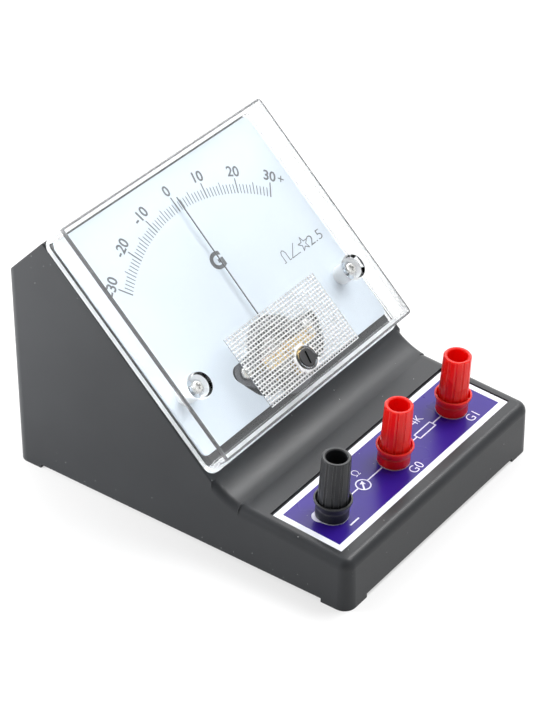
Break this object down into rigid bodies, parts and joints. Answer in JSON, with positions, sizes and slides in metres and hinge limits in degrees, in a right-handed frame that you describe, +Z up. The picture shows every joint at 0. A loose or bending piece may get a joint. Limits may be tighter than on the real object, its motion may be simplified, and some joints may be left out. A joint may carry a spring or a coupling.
{
  "type": "galvanometer",
  "caption": "Bench galvanometer: wedge case, centre-zero dial under a clear cover, zero adjuster and binding posts on a printed deck label.",
  "frame": {"origin": "on the table under the middle of the case's base", "axes": "+X to the operator's right, +Y from the deck towards the tall rear, +Z up"},
  "size_m": [0.1, 0.128, 0.093],
  "materials": {
    "case_plastic": "moulded dark grey, satin with fine dust",
    "base_board": "flat black sheet",
    "screw_steel": "bright zinc plated",
    "label_white": "smooth printed sheet, white border",
    "label_purple": "printed violet field",
    "dial_white": "white enamel, smooth",
    "dial_print": "printed grey ink",
    "clear_plastic": "clear moulded, polished",
    "black_plastic": "moulded black, semi gloss",
    "red_plastic": "moulded red, semi gloss",
    "movement_plastic": "moulded dark grey",
    "yoke_iron": "plated soft iron",
    "magnet_alloy": "ground cast magnet",
    "spring_brass": "bright drawn",
    "copper_wire": "enamelled wire",
    "aluminium": "bright",
    "pointer_black": "black painted wire",
    "tinned_metal": "tinned and nickel plated",
    "resistor_body": "glossy lacquer",
    "wire_black": "insulated wire",
    "wire_red": "insulated wire"
  },
  "bodies": {
    "root": {"case_shell": "case_plastic", "base_plate": "base_board", "base_screws": "screw_steel", "label_plate": "label_white", "label_field": "label_purple", "dial_plate": "dial_white", "dial_scale": "dial_print", "meter_cover": "clear_plastic", "cover_screws": "screw_steel", "movement_frame": "movement_plastic", "movement_screws": "screw_steel", "yoke_ring": "yoke_iron", "magnet_core": "magnet_alloy", "core_spacers": "spring_brass", "upper_jewel_screw": "spring_brass", "lower_jewel_screw": "spring_brass", "bridge_pillars": "spring_brass", "upper_bridge": "spring_brass", "bridge_screws": "screw_steel", "movement_tags": "tinned_metal", "post_nuts": "tinned_metal", "post_washers": "tinned_metal", "solder_lugs": "tinned_metal", "series_resistor": "resistor_body", "resistor_leads": "tinned_metal", "minus_wire": "wire_black", "g0_wire": "wire_red", "collar_minus": "black_plastic", "stud_minus": "tinned_metal", "collar_g0": "red_plastic", "stud_g0": "tinned_metal", "collar_g1": "red_plastic", "stud_g1": "tinned_metal"},
    "zero_adjuster": {"zero_adjuster": "black_plastic"},
    "zero_lever": {"zero_lever": "spring_brass"},
    "pointer_unit": {"coil_former": "aluminium", "coil_winding": "copper_wire", "upper_pivot": "screw_steel", "lower_pivot": "screw_steel", "upper_hairspring": "spring_brass", "lower_hairspring": "spring_brass", "pointer": "pointer_black", "balance_weights": "spring_brass"},
    "washer_minus": {"clamp_washer_minus": "tinned_metal"},
    "cap_minus": {"cap_minus": "black_plastic", "cap_insert_minus": "spring_brass"},
    "washer_g0": {"clamp_washer_g0": "tinned_metal"},
    "cap_g0": {"cap_g0": "red_plastic", "cap_insert_g0": "spring_brass"},
    "washer_g1": {"clamp_washer_g1": "tinned_metal"},
    "cap_g1": {"cap_g1": "red_plastic", "cap_insert_g1": "spring_brass"}
  },
  "joints": [
    {"name": "zero_adjuster_turn", "type": "hinge", "parent": "root", "child": "zero_adjuster", "pos_m": [0, -0.00537, 0.03426], "axis": [0, -0.6947, 0.7193], "range_deg": [-25, 25]},
    {"name": "zero_lever_turn", "type": "hinge", "parent": "root", "child": "zero_lever", "pos_m": [0, -0.00153, 0.03797], "axis": [0, -0.6947, 0.7193], "range_deg": [-5.6, 5.6]},
    {"name": "pointer_turn", "type": "hinge", "parent": "zero_lever", "child": "pointer_unit", "pos_m": [0, -0.00153, 0.03797], "axis": [0, -0.6947, 0.7193], "range_deg": [-41.1, 42.9], "stiffness_Nm_per_rad": 0.00005},
    {"name": "minus_lift", "type": "slide", "parent": "root", "child": "washer_minus", "axis": [0, -0.0663, 0.9978], "range_m": [-0.0009, 0.0033]},
    {"name": "minus_turn", "type": "hinge", "parent": "washer_minus", "child": "cap_minus", "pos_m": [-0.0337, -0.04684, 0.02365], "axis": [0, -0.0663, 0.9978], "range_deg": [-463, 1699]},
    {"name": "g0_lift", "type": "slide", "parent": "root", "child": "washer_g0", "axis": [0, -0.0663, 0.9978], "range_m": [-0.0003, 0.0039]},
    {"name": "g0_turn", "type": "hinge", "parent": "washer_g0", "child": "cap_g0", "pos_m": [-0.0014, -0.0468, 0.02305], "axis": [0, -0.0663, 0.9978], "range_deg": [-155, 2007]},
    {"name": "g1_lift", "type": "slide", "parent": "root", "child": "washer_g1", "axis": [0, -0.0663, 0.9978], "range_m": [0, 0.0042]},
    {"name": "g1_turn", "type": "hinge", "parent": "washer_g1", "child": "cap_g1", "pos_m": [0.0307, -0.04678, 0.02275], "axis": [0, -0.0663, 0.9978], "range_deg": [0, 2162]}
  ],
  "couplings": [
    {"joint": "zero_lever_turn", "follows": "zero_adjuster_turn", "ratio": 0.21898},
    {"joint": "minus_turn", "follows": "minus_lift", "rad_per_m": 8976},
    {"joint": "g0_turn", "follows": "g0_lift", "rad_per_m": 8976},
    {"joint": "g1_turn", "follows": "g1_lift", "rad_per_m": 8976}
  ]
}
